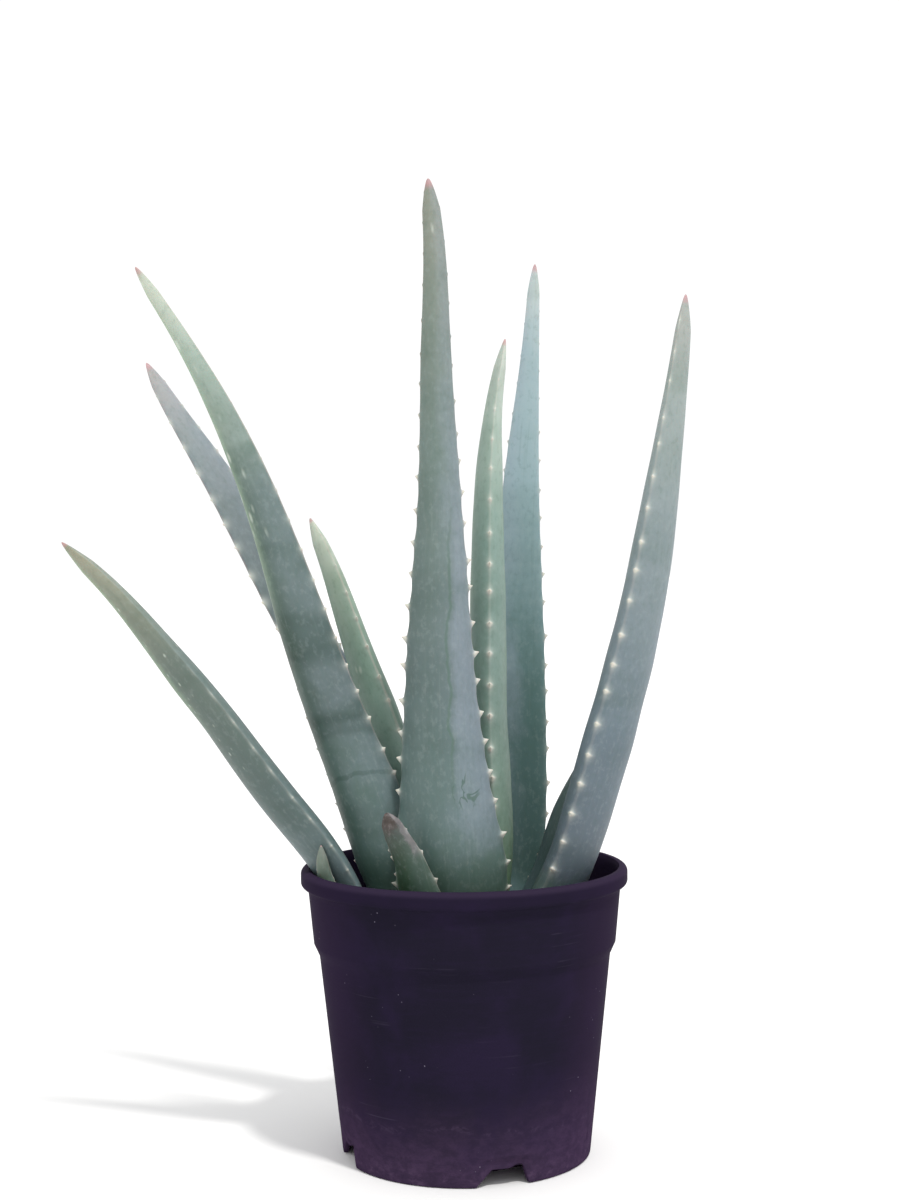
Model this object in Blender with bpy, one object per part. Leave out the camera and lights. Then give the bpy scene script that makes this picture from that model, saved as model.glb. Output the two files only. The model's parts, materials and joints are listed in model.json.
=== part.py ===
"""Potted aloe: a plastic nursery pot with its soil, the main stem and a side stem, and every leaf.

Metres, +Z up. The origin is on the floor, on the pot's axis; the plant's front faces -Y.
"""

import math

import bpy
import numpy as np

# Pot: a thin moulded cone with a rolled rim, a stacking shoulder and a notched foot
POT_HEIGHT = 0.150
RIM_RADIUS = 0.085
RIM_DROP = 0.009  # height of the rolled bead
BEAD_ROUND = 0.0022
BAND_TOP_RADIUS = 0.0813  # wall just under the bead
BAND_BOTTOM_RADIUS = 0.0786
SHOULDER_Z = 0.111
SHOULDER_DROP = 0.0055
CONE_TOP_RADIUS = 0.0759
FOOT_RADIUS = 0.0646
FOOT_ROUND = 0.0012
WALL = 0.0014
FLOOR_LIFT = 0.0090  # the drain channel's underside, above the floor
CHANNEL_INNER = 0.044
CHANNEL_OUTER = 0.0612
CHANNEL_DRAFT = 0.0004  # taper of the foot ring's inner face
FLOOR_FILLET = 0.0018  # how far the inner corner stands out from the channel
HUB_RADIUS = 0.040  # flat middle of the base, which rests on the floor
POT_SIDES = 56

NOTCHES = 4
NOTCH_FIRST = -75.0  # degrees about +Z from +X, the notch at the front
NOTCH_FOOT_WIDTH = 0.027
NOTCH_TOP_WIDTH = 0.017
NOTCH_HEIGHT = 0.0085
NOTCH_REACH = 0.012  # depth of the cutter, more than the foot ring's thickness
DRAIN_HOLES = 8
DRAIN_RADIUS = 0.0035
DRAIN_SIDES = 10
OVERCUT = 0.002  # how far a cutter passes the face it cuts

# Soil and stems
GAP = 0.0003  # between touching pieces
SOIL_LEVEL = 0.1165
SOIL_DOME = 0.003  # the soil stands higher at the stem
SOIL_SHOULDER_AT = 0.055  # radius where the dome starts to rise
SOIL_CROWN_AT = 0.030
STEMS = {
    "stem_main": {"at": (0.002, 0.004), "radius": 0.012, "foot": 0.045, "top": 0.122},
    "stem_side": {"at": (-0.044, -0.012), "radius": 0.008, "foot": 0.065, "top": 0.112},
}
STEM_OUTLINE = [  # width over the stem's radius, height over its length
    (0.45, 0.02),
    (0.80, 0.25),
    (1.00, 0.60),
    (0.92, 0.88),
    (0.50, 0.98),
]
STEM_SIDES = 20

LEAF_RINGS = 19
LEAF_SIDES = 14
LEAF_ROUND = 1.2  # above 1, the faces turn sharper towards the toothed margins
MARGIN_CLEARANCE = 3.0  # a cutter's thin margins stand out by this many gaps
CREASE_ANGLE = 38.0  # degrees, above which an edge is drawn sharp

# Leaves. Each spine point is (x, y, z, width), from the buried base to the tip. "facing" is the
# compass angle, in degrees about +Z from +X, that the rounded outer face looks towards, at the
# base and at the tip. "plump" is thickness over width and "channel" the depth of the hollow inner
# face over width, each at the base and at the tip. "outer" is the outer face's share of the
# thickness. "nose" is the length of the closing tip.
LEAVES = {
    "leaf_front_tall": {
        "spine": [
            (-0.002, -0.018, 0.108, 0.038),
            (-0.006, -0.031, 0.142, 0.0555),
            (-0.009, -0.034, 0.1885, 0.047),
            (-0.011, -0.036, 0.239, 0.0365),
            (-0.011, -0.038, 0.2895, 0.029),
            (-0.0105, -0.04, 0.3395, 0.0215),
            (-0.0115, -0.043, 0.414, 0.015),
            (-0.012, -0.044, 0.468, 0.0105),
            (-0.0145, -0.045, 0.4985, 0.0075),
        ],
        "facing": (-92, -88),
        "plump": (0.24, 0.62),
        "channel": (0.16, 0.0),
        "outer": 0.68,
        "nose": 0.016,
    },
    "leaf_front_left": {
        "spine": [
            (-0.016, -0.008, 0.107, 0.034),
            (-0.04, -0.011, 0.154, 0.042),
            (-0.0505, -0.013, 0.1855, 0.0395),
            (-0.062, -0.016, 0.2175, 0.036),
            (-0.079, -0.024, 0.2695, 0.0315),
            (-0.094, -0.031, 0.3205, 0.025),
            (-0.108, -0.037, 0.3605, 0.0195),
            (-0.137, -0.045, 0.42, 0.01),
            (-0.1595, -0.048, 0.456, 0.006),
        ],
        "facing": (-118, -130),
        "plump": (0.28, 0.6),
        "channel": (0.16, 0.0),
        "outer": 0.68,
        "nose": 0.016,
    },
    "leaf_back_left": {
        "spine": [
            (-0.01, 0.015, 0.108, 0.03),
            (-0.039, 0.032, 0.17, 0.034),
            (-0.067, 0.038, 0.235, 0.031),
            (-0.0955, 0.042, 0.288, 0.0265),
            (-0.1125, 0.046, 0.3205, 0.0235),
            (-0.138, 0.05, 0.3645, 0.0165),
            (-0.165, 0.056, 0.408, 0.008),
            (-0.1705, 0.057, 0.418, 0.006),
        ],
        "facing": (140, 120),
        "plump": (0.26, 0.55),
        "channel": (0.16, 0.04),
        "outer": 0.68,
        "nose": 0.014,
    },
    "leaf_small_left": {
        "spine": [
            (-0.012, 0.002, 0.11, 0.028),
            (-0.023, 0.006, 0.16, 0.034),
            (-0.04, 0.01, 0.225, 0.032),
            (-0.0545, 0.014, 0.267, 0.0235),
            (-0.0695, 0.018, 0.3095, 0.0145),
            (-0.0795, 0.02, 0.332, 0.0075),
        ],
        "facing": (-165, -165),
        "plump": (0.5, 0.65),
        "channel": (0.06, 0.0),
        "outer": 0.62,
        "nose": 0.014,
    },
    "leaf_centre": {
        "spine": [
            (0.011, -0.002, 0.11, 0.028),
            (0.0155, -0.002, 0.1525, 0.034),
            (0.014, 0.0, 0.2045, 0.034),
            (0.0135, 0.003, 0.267, 0.0315),
            (0.014, 0.006, 0.319, 0.0275),
            (0.0155, 0.008, 0.361, 0.02),
            (0.0185, 0.009, 0.3925, 0.013),
            (0.0245, 0.01, 0.4245, 0.0065),
        ],
        "facing": (4, 6),
        "plump": (0.54, 0.68),
        "channel": (0.04, 0.0),
        "outer": 0.52,
        "nose": 0.016,
    },
    "leaf_back_right": {
        "spine": [
            (0.01, 0.014, 0.108, 0.03),
            (0.0225, 0.022, 0.135, 0.033),
            (0.0285, 0.03, 0.1795, 0.0335),
            (0.0305, 0.036, 0.233, 0.03),
            (0.0315, 0.04, 0.2865, 0.026),
            (0.033, 0.042, 0.3405, 0.0205),
            (0.037, 0.044, 0.3945, 0.013),
            (0.0395, 0.045, 0.427, 0.009),
            (0.042, 0.046, 0.468, 0.0055),
        ],
        "facing": (82, 80),
        "plump": (0.24, 0.6),
        "channel": (0.18, 0.04),
        "outer": 0.68,
        "nose": 0.016,
    },
    "leaf_right": {
        "spine": [
            (0.0205, -0.012, 0.105, 0.0285),
            (0.0452, -0.018, 0.14, 0.0368),
            (0.0622, -0.022, 0.186, 0.0384),
            (0.0712, -0.025, 0.217, 0.0388),
            (0.0895, -0.03, 0.288, 0.0335),
            (0.0968, -0.034, 0.3285, 0.0281),
            (0.1031, -0.037, 0.3685, 0.0215),
            (0.1089, -0.04, 0.408, 0.0145),
            (0.1129, -0.042, 0.4405, 0.0087),
        ],
        "facing": (-20, -24),
        "plump": (0.62, 0.64),
        "channel": (0.0, 0.0),
        "outer": 0.62,
        "nose": 0.018,
    },
    "leaf_right_inner": {
        "spine": [
            (0.026, 0.006, 0.109, 0.022),
            (0.044, 0.004, 0.145, 0.026),
            (0.0515, 0.003, 0.172, 0.022),
            (0.0595, 0.002, 0.192, 0.0165),
            (0.068, 0.001, 0.212, 0.008),
        ],
        "facing": (20, 20),
        "plump": (0.36, 0.55),
        "channel": (0.12, 0.0),
        "outer": 0.68,
        "nose": 0.01,
    },
    "leaf_withered_stub": {
        "spine": [
            (-0.014, -0.034, 0.109, 0.024),
            (-0.02, -0.046, 0.133, 0.024),
            (-0.0235, -0.05, 0.145, 0.0205),
            (-0.028, -0.052, 0.161, 0.0155),
            (-0.034, -0.053, 0.174, 0.012),
            (-0.0385, -0.054, 0.185, 0.008),
        ],
        "facing": (-105, -105),
        "plump": (0.22, 0.3),
        "channel": (0.14, 0.05),
        "outer": 0.68,
        "nose": 0.006,
    },
    "side_leaf_long": {
        "spine": [
            (-0.047, -0.011, 0.106, 0.024),
            (-0.0655, -0.012, 0.1475, 0.033),
            (-0.094, -0.016, 0.1875, 0.034),
            (-0.1235, -0.021, 0.229, 0.029),
            (-0.155, -0.025, 0.27, 0.022),
            (-0.172, -0.027, 0.291, 0.0165),
            (-0.202, -0.028, 0.3205, 0.0075),
        ],
        "facing": (-158, -158),
        "plump": (0.48, 0.66),
        "channel": (0.04, 0.0),
        "outer": 0.56,
        "nose": 0.018,
    },
    "side_leaf_bud": {
        "spine": [
            (-0.058, -0.024, 0.112, 0.013),
            (-0.066, -0.0265, 0.135, 0.0115),
            (-0.071, -0.028, 0.15, 0.0085),
            (-0.0725, -0.03, 0.1655, 0.0045),
        ],
        "facing": (-115, -115),
        "plump": (0.3, 0.45),
        "channel": (0.05, 0.0),
        "outer": 0.68,
        "nose": 0.008,
    },
}

# Outer leaves clasp what grows inside them: each is relieved by the pieces listed after it
CLASPS = {
    "leaf_centre": ["stem_main"],
    "leaf_small_left": ["stem_main"],
    "leaf_right_inner": ["stem_main"],
    "leaf_back_left": ["stem_main", "leaf_small_left"],
    "leaf_back_right": ["stem_main", "leaf_right_inner"],
    "leaf_front_left": ["stem_main", "leaf_small_left"],
    "leaf_front_tall": ["stem_main", "leaf_centre", "leaf_front_left"],
    "leaf_right": ["stem_main", "leaf_right_inner", "leaf_centre", "leaf_front_tall"],
    "side_leaf_long": ["stem_side"],
    "side_leaf_bud": ["side_leaf_long"],
}

MATERIALS = {
    "pot_plastic": ((0.030, 0.024, 0.040), 0.62),
    "soil": ((0.050, 0.034, 0.022), 0.95),
    "stem_bark": ((0.180, 0.140, 0.080), 0.85),
    "aloe_leaf": ((0.180, 0.240, 0.210), 0.50),
    "withered_leaf": ((0.150, 0.160, 0.110), 0.70),
}


def clear_scene():
    for obj in list(bpy.data.objects):
        bpy.data.objects.remove(obj)


def material(name):
    """The named Principled material, made once."""
    found = bpy.data.materials.get(name)
    if found:
        return found
    color, roughness = MATERIALS[name]
    made = bpy.data.materials.new(name)
    made.use_nodes = True
    shader = made.node_tree.nodes["Principled BSDF"]
    shader.inputs["Base Color"].default_value = (*color, 1.0)
    shader.inputs["Roughness"].default_value = roughness
    shader.inputs["Metallic"].default_value = 0.0
    return made


def add_object(name, verts, faces, material_name=None, at=(0.0, 0.0, 0.0)):
    """A mesh object. One with no material is a cutter: drawn as wire and left out of the model."""
    mesh = bpy.data.meshes.new(name)
    mesh.from_pydata([tuple(map(float, v)) for v in verts], [], faces)
    mesh.validate()
    obj = bpy.data.objects.new(name, mesh)
    obj.location = at
    bpy.context.scene.collection.objects.link(obj)
    if material_name:
        mesh.materials.append(material(material_name))
        mesh.shade_smooth()
        mesh.set_sharp_from_angle(angle=math.radians(CREASE_ANGLE))
    else:
        obj.hide_render = True
        obj.display_type = "WIRE"
    return obj


def subtract(obj, cutter):
    cut = obj.modifiers.new("cut_" + cutter.name, "BOOLEAN")
    cut.operation = "DIFFERENCE"
    cut.solver = "EXACT"
    cut.object = cutter


def lathe(name, profile, sides, material_name=None, at=(0.0, 0.0)):
    """A solid turned about a vertical axis. The profile runs from the axis at the bottom, up the
    outside and back to the axis. Screw takes it the other way round, so that faces point out."""
    mesh = bpy.data.meshes.new(name)
    points = [(radius, 0.0, z) for radius, z in reversed(profile)]
    mesh.from_pydata(points, [(i, i + 1) for i in range(len(points) - 1)], [])
    obj = bpy.data.objects.new(name, mesh)
    obj.location = (at[0], at[1], 0.0)
    bpy.context.scene.collection.objects.link(obj)
    turn = obj.modifiers.new("turn", "SCREW")
    turn.axis = "Z"
    turn.angle = math.tau
    turn.screw_offset = 0.0
    turn.steps = sides
    turn.render_steps = sides
    turn.use_merge_vertices = True
    turn.merge_threshold = 0.00001
    turn.use_smooth_shade = True
    if material_name:
        mesh.materials.append(material(material_name))
    else:
        obj.hide_render = True
        obj.display_type = "WIRE"
    return obj


def smooth_curve(points, count):
    """count points along the natural cubic spline through the given rows, evenly spaced in length."""
    rows = np.asarray(points, float)
    steps = np.linalg.norm(np.diff(rows[:, :3], axis=0), axis=1)
    knots = np.concatenate([[0.0], np.cumsum(steps)])
    size = len(rows)
    system = np.zeros((size, size))
    right = np.zeros((size, rows.shape[1]))
    system[0, 0] = system[-1, -1] = 1.0
    for i in range(1, size - 1):
        system[i, i - 1 : i + 2] = steps[i - 1], 2 * (steps[i - 1] + steps[i]), steps[i]
        right[i] = 6 * ((rows[i + 1] - rows[i]) / steps[i] - (rows[i] - rows[i - 1]) / steps[i - 1])
    bend = np.linalg.solve(system, right)
    where = np.linspace(0.0, knots[-1], count)
    piece = np.clip(np.searchsorted(knots, where, side="right") - 1, 0, size - 2)
    span = steps[piece][:, None]
    after = (where - knots[piece])[:, None]
    before = span - after
    low, high = bend[piece], bend[piece + 1]
    return (
        (low * before**3 + high * after**3) / (6 * span)
        + (rows[piece] / span - low * span / 6) * before
        + (rows[piece + 1] / span - high * span / 6) * after
    )


def leaf_rings(leaf, rings, sides, grow):
    """Cross-sections of a leaf: a crescent with narrow margins, carried along the spine."""
    path = smooth_curve(leaf["spine"], rings)
    centres, widths = path[:, :3], path[:, 3]
    tangents = np.gradient(centres, axis=0)
    tangents /= np.linalg.norm(tangents, axis=1)[:, None]
    length = np.linalg.norm(np.diff(centres, axis=0), axis=1).sum()
    centres[0] -= tangents[0] * grow
    share = np.linspace(0.0, 1.0, rings)

    def along(key):
        start, end = leaf[key]
        return start + (end - start) * share

    compass = np.radians(along("facing"))
    outward = np.stack([np.cos(compass), np.sin(compass), np.zeros(rings)], axis=1)
    outward -= (outward * tangents).sum(axis=1)[:, None] * tangents
    outward /= np.linalg.norm(outward, axis=1)[:, None]
    sideways = np.cross(tangents, outward)

    left = np.clip((1.0 - share) * length / leaf["nose"], 0.0, 1.0)
    width = widths * np.sqrt(1.0 - (1.0 - left) ** 2)  # the tip closes as a quarter ellipse
    outer = width * along("plump") * leaf["outer"]
    inner = width * along("plump") * (1.0 - leaf["outer"])
    hollow = width * along("channel")

    turn = np.linspace(0.0, math.tau, sides, endpoint=False)
    across = np.cos(turn)
    bulge = np.abs(np.sin(turn)) ** LEAF_ROUND * np.sign(np.sin(turn))
    depth = np.where(bulge > 0, outer[:, None], inner[:, None])
    a = 0.5 * width[:, None] * across
    b = depth * bulge - hollow[:, None] * across**2
    if grow:
        run_a = np.roll(a, -1, axis=1) - np.roll(a, 1, axis=1)
        run_b = np.roll(b, -1, axis=1) - np.roll(b, 1, axis=1)
        run = np.hypot(run_a, run_b) + 1e-9
        run[:, [0, sides // 2]] /= MARGIN_CLEARANCE
        a = a + grow * run_b / run
        b = b - grow * run_a / run
    return centres[:, None] + a[..., None] * sideways[:, None] + b[..., None] * outward[:, None]


def leaf_solid(name, leaf, material_name=None, grow=0.0):
    """A closed leaf: rings from the base up, one point at the tip, a flat cut at the base."""
    grid = leaf_rings(leaf, LEAF_RINGS, LEAF_SIDES, grow)
    tip = grid[-1].mean(axis=0)
    verts = np.concatenate([grid[:-1].reshape(-1, 3), [tip]])
    faces = [tuple(range(LEAF_SIDES))]
    for ring in range(LEAF_RINGS - 2):
        for side in range(LEAF_SIDES):
            after = (side + 1) % LEAF_SIDES
            low = ring * LEAF_SIDES
            high = low + LEAF_SIDES
            faces.append((low + side, high + side, high + after))
            faces.append((low + side, high + after, low + after))
    last = (LEAF_RINGS - 2) * LEAF_SIDES
    for side in range(LEAF_SIDES):
        faces.append((last + side, len(verts) - 1, last + (side + 1) % LEAF_SIDES))
    return add_object(name, verts, faces, material_name)


def wall_inner_radius(z):
    """Inside radius of the pot's cone at a height."""
    low = CHANNEL_OUTER + FLOOR_FILLET
    high = CONE_TOP_RADIUS - WALL
    return low + (high - low) * (z - FLOOR_LIFT) / (SHOULDER_Z - SHOULDER_DROP - FLOOR_LIFT)


def pot_profile():
    """Half section of the pot, from the axis under the base, up the outside and down the inside."""
    shoulder_low = SHOULDER_Z - SHOULDER_DROP
    bead_low = POT_HEIGHT - RIM_DROP
    neck = bead_low - 0.0020
    outside = [
        (0.0, 0.0),
        (HUB_RADIUS, 0.0),
        (CHANNEL_INNER, FLOOR_LIFT),
        (CHANNEL_OUTER, FLOOR_LIFT),
        (CHANNEL_OUTER + CHANNEL_DRAFT, 0.0),
        (FOOT_RADIUS - FOOT_ROUND, 0.0),
        (FOOT_RADIUS, FOOT_ROUND),
        (CONE_TOP_RADIUS, shoulder_low),
        (BAND_BOTTOM_RADIUS, SHOULDER_Z),
        (BAND_TOP_RADIUS, neck),
        (RIM_RADIUS - 0.0008, bead_low),
        (RIM_RADIUS, bead_low + 0.0018),
        (RIM_RADIUS, POT_HEIGHT - BEAD_ROUND),
        (RIM_RADIUS - 0.3 * BEAD_ROUND, POT_HEIGHT - 0.3 * BEAD_ROUND),
        (RIM_RADIUS - BEAD_ROUND, POT_HEIGHT),
    ]
    inside = [
        (BAND_TOP_RADIUS - WALL, POT_HEIGHT - 0.0010),
        (BAND_TOP_RADIUS - WALL - 0.0003, neck),
        (BAND_BOTTOM_RADIUS - WALL, SHOULDER_Z),
        (CONE_TOP_RADIUS - WALL, shoulder_low),
        (wall_inner_radius(FLOOR_LIFT + WALL), FLOOR_LIFT + WALL),
        (CHANNEL_INNER - 0.4 * WALL, FLOOR_LIFT + WALL),
        (HUB_RADIUS - 0.4 * WALL, WALL),
        (0.0, WALL),
    ]
    return outside + inside


def prism(name, outline, depth):
    """A cutter: an outline in the XZ plane, pushed from y = 0 by depth along +Y."""
    count = len(outline)
    verts = [(x, 0.0, z) for x, z in outline] + [(x, depth, z) for x, z in outline]
    faces = [tuple(range(count)), tuple(reversed(range(count, 2 * count)))]
    for i in range(count):
        after = (i + 1) % count
        faces.append((after, i, count + i, count + after))
    return add_object(name, verts, faces)


def build_pot():
    pot = lathe("pot", pot_profile(), POT_SIDES, "pot_plastic")
    foot, top = NOTCH_FOOT_WIDTH / 2, NOTCH_TOP_WIDTH / 2
    arch = [
        (-foot, -OVERCUT),
        (foot, -OVERCUT),
        (foot, 0.0),
        (top, NOTCH_HEIGHT),
        (-top, NOTCH_HEIGHT),
        (-foot, 0.0),
    ]
    notch_start = CHANNEL_OUTER - 2 * OVERCUT
    for i in range(NOTCHES):
        angle = math.radians(NOTCH_FIRST + i * 360 / NOTCHES)
        cutter = prism(f"notch_cutter_{i}", arch, NOTCH_REACH)
        cutter.rotation_euler.z = angle - math.pi / 2
        cutter.location = (notch_start * math.cos(angle), notch_start * math.sin(angle), 0.0)
        subtract(pot, cutter)
    middle = (CHANNEL_INNER + CHANNEL_OUTER) / 2
    low = FLOOR_LIFT - OVERCUT
    high = FLOOR_LIFT + WALL + OVERCUT
    hole = [(0.0, low), (DRAIN_RADIUS, low), (DRAIN_RADIUS, high), (0.0, high)]
    for i in range(DRAIN_HOLES):
        angle = math.radians(NOTCH_FIRST + (i + 0.5) * 360 / DRAIN_HOLES)
        at = (middle * math.cos(angle), middle * math.sin(angle))
        subtract(pot, lathe(f"drain_cutter_{i}", hole, DRAIN_SIDES, None, at))
    return pot


def stem_solid(name, stem, material_name=None, grow=0.0):
    """A short woody stem: a blunt root end, a slight swelling and a rounded crown."""
    foot = stem["foot"]
    height = stem["top"] - foot
    radius = stem["radius"]
    profile = [(0.0, foot - grow)]
    for width, rise in STEM_OUTLINE:
        profile.append((radius * width + grow, foot + height * rise))
    profile.append((0.0, stem["top"] + grow))
    return lathe(name, profile, STEM_SIDES, material_name, stem["at"])


def build_soil():
    """Soil fills the pot to a little over the shoulder, slightly domed."""
    low = FLOOR_LIFT + WALL + GAP
    side_gap = 2 * GAP
    band_edge = BAND_BOTTOM_RADIUS - WALL - side_gap
    profile = [
        (0.0, WALL + GAP),
        (HUB_RADIUS - 0.0010, WALL + GAP),
        (CHANNEL_INNER - 0.0010, low),
        (wall_inner_radius(low) - side_gap, low),
        (CONE_TOP_RADIUS - WALL - side_gap, SHOULDER_Z - SHOULDER_DROP),
        (band_edge, SHOULDER_Z),
        (band_edge + GAP, SOIL_LEVEL),
        (SOIL_SHOULDER_AT, SOIL_LEVEL + 0.25 * SOIL_DOME),
        (SOIL_CROWN_AT, SOIL_LEVEL + 0.80 * SOIL_DOME),
        (0.0, SOIL_LEVEL + SOIL_DOME),
    ]
    return lathe("soil", profile, POT_SIDES, "soil")


def grown(name):
    """A cutter in the shape of a leaf or stem, larger by the gap all round."""
    found = bpy.data.objects.get("cutter_" + name)
    if found:
        return found
    if name in STEMS:
        return stem_solid("cutter_" + name, STEMS[name], None, GAP)
    return leaf_solid("cutter_" + name, LEAVES[name], None, GAP)


def cut_sockets(soil):
    """Every stem and leaf base stands in a socket of its own shape in the soil."""
    buried = bpy.data.collections.new("buried")
    bpy.context.scene.collection.children.link(buried)
    for name in [*STEMS, *LEAVES]:
        buried.objects.link(grown(name))
    cut = soil.modifiers.new("sockets", "BOOLEAN")
    cut.operation = "DIFFERENCE"
    cut.solver = "EXACT"
    cut.operand_type = "COLLECTION"
    cut.collection = buried


def main():
    clear_scene()
    build_pot()
    soil = build_soil()
    for name, stem in STEMS.items():
        stem_solid(name, stem, "stem_bark")
    for name, leaf in LEAVES.items():
        made = leaf_solid(name, leaf, "withered_leaf" if "withered" in name else "aloe_leaf")
        for inner in CLASPS.get(name, []):
            subtract(made, grown(inner))
    cut_sockets(soil)


main()
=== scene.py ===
import json
import math

import bpy
import numpy as np
from mathutils import Matrix

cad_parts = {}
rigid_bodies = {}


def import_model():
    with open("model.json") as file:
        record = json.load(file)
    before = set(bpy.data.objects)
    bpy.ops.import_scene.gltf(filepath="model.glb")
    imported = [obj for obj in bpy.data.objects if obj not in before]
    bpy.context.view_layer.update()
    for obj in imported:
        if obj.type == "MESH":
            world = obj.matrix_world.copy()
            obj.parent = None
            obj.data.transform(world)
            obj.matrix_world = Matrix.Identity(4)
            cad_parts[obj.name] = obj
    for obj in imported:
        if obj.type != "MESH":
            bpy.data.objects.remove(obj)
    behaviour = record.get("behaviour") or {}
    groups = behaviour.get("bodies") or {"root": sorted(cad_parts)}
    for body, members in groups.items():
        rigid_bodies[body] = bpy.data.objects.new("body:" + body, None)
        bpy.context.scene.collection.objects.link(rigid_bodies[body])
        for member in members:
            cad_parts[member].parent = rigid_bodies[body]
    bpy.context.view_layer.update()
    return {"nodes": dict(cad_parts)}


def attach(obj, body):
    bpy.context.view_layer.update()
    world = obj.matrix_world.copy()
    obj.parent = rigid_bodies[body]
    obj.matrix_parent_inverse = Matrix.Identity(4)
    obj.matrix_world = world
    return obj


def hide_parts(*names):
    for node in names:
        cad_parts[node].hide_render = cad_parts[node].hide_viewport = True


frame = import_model()
print("frame loaded:", len(frame["nodes"]), "parts")


# A linear colour from a six-digit web colour: ((c + 0.055) / 1.055) ^ 2.4 above the toe.
def tint(code):
    parts = [int(code[i : i + 2], 16) / 255 for i in (0, 2, 4)]
    return tuple(c / 12.92 if c <= 0.04045 else ((c + 0.055) / 1.055) ** 2.4 for c in parts)


# 0 at low, 1 at high, 3t^2 - 2t^3 between; low may be the larger of the two.
def smoothStep(low, high, x):
    t = np.clip((x - low) / (high - low), 0.0, 1.0)
    return t * t * (3 - 2 * t)


# count rows along the natural cubic spline through the given rows, evenly spaced in chord length.
def naturalCurve(rows, count):
    rows = np.asarray(rows, float)
    steps = np.linalg.norm(np.diff(rows[:, :3], axis=0), axis=1)
    knots = np.concatenate([[0.0], np.cumsum(steps)])
    size = len(rows)
    system = np.zeros((size, size))
    right = np.zeros_like(rows)
    system[0, 0] = system[-1, -1] = 1.0
    for i in range(1, size - 1):
        system[i, i - 1 : i + 2] = steps[i - 1], 2 * (steps[i - 1] + steps[i]), steps[i]
        right[i] = 6 * ((rows[i + 1] - rows[i]) / steps[i] - (rows[i] - rows[i - 1]) / steps[i - 1])
    bend = np.linalg.solve(system, right)
    where = np.linspace(0.0, knots[-1], count)
    piece = np.clip(np.searchsorted(knots, where, side="right") - 1, 0, size - 2)
    span = steps[piece][:, None]
    after = (where - knots[piece])[:, None]
    before = span - after
    low, high = bend[piece], bend[piece + 1]
    return (
        (low * before**3 + high * after**3) / (6 * span)
        + (rows[piece] / span - low * span / 6) * before
        + (rows[piece + 1] / span - high * span / 6) * after
    )


# Smooth noise in -1..1: random heights on a lattice of that cell, blended with 3t^2 - 2t^3.
def valueNoise(x, y, cell, seed):
    lattice = np.random.default_rng(seed).uniform(-1, 1, (64, 64))
    u, v = x / cell + 31.7, y / cell + 17.3
    i, j = np.floor(u).astype(int), np.floor(v).astype(int)
    s, t = u - i, v - j
    s, t = s * s * (3 - 2 * s), t * t * (3 - 2 * t)

    def corner(di, dj):
        return lattice[(i + di) % 64, (j + dj) % 64]

    low = corner(0, 0) * (1 - s) + corner(1, 0) * s
    high = corner(0, 1) * (1 - s) + corner(1, 1) * s
    return low * (1 - t) + high * t


# Points (r cos a, r sin a, z), with r, a and z spread over each other.
def polar(r, angle, z):
    r, angle, z = np.broadcast_arrays(r, angle, z)
    return np.stack([r * np.cos(angle), r * np.sin(angle), z], axis=-1)


# A mesh object from points (n, 3) and a list of face index arrays, each (m, corners).
def makeMesh(name, points, faces, marks=None, smooth=True):
    mesh = bpy.data.meshes.new(name)
    mesh.vertices.add(len(points))
    mesh.vertices.foreach_set("co", np.ascontiguousarray(points, np.float32).ravel())
    corners = np.concatenate([block.ravel() for block in faces])
    sizes = np.concatenate([np.full(len(block), block.shape[1]) for block in faces])
    mesh.loops.add(len(corners))
    mesh.loops.foreach_set("vertex_index", corners.astype(np.int32))
    mesh.polygons.add(len(sizes))
    mesh.polygons.foreach_set("loop_start", (np.cumsum(sizes) - sizes).astype(np.int32))
    mesh.polygons.foreach_set("loop_total", sizes.astype(np.int32))
    mesh.update(calc_edges=True)
    mesh.validate()
    mesh.polygons.foreach_set("use_smooth", np.full(len(mesh.polygons), smooth))
    for key, values in (marks or {}).items():
        layer = mesh.attributes.new(key, "FLOAT_VECTOR", "POINT")
        layer.data.foreach_set("vector", np.ascontiguousarray(values, np.float32).ravel())
    obj = bpy.data.objects.new(name, mesh)
    bpy.context.scene.collection.objects.link(obj)
    return obj


# Quads between successive closed rings of points, the ring's points numbered first.
def ringFaces(rings, sides):
    ring, side = np.meshgrid(np.arange(rings - 1), np.arange(sides), indexing="ij")
    a = (ring * sides + side).ravel()
    b = (ring * sides + (side + 1) % sides).ravel()
    return np.stack([a, b, b + sides, a + sides], axis=1)


# Points, faces and marks of a closed body: rings (n, m, 3), with a fan to a point at each end.
def tube(grid, marks=None):
    rings, sides = grid.shape[:2]
    points = np.concatenate([grid.reshape(-1, 3), [grid[0].mean(axis=0), grid[-1].mean(axis=0)]])
    side = np.arange(sides)
    after = (side + 1) % sides
    start = np.full(sides, rings * sides)
    last = (rings - 1) * sides
    foot = np.stack([after, side, start], axis=1)
    head = np.stack([last + side, last + after, start + 1], axis=1)
    faces = [ringFaces(rings, sides), foot, head]
    a, b, c = (points[faces[0][:, k]] for k in (0, 1, 2))
    if np.einsum("ij,ij->", np.cross(b, c), a) < 0:  # signed volume: turn every face outwards
        faces = [block[:, ::-1] for block in faces]
    ends = {}
    for key, values in (marks or {}).items():
        caps = [values[0].mean(axis=0), values[-1].mean(axis=0)]
        ends[key] = np.concatenate([values.reshape(-1, 3), caps])
    return points, faces, ends


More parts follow.
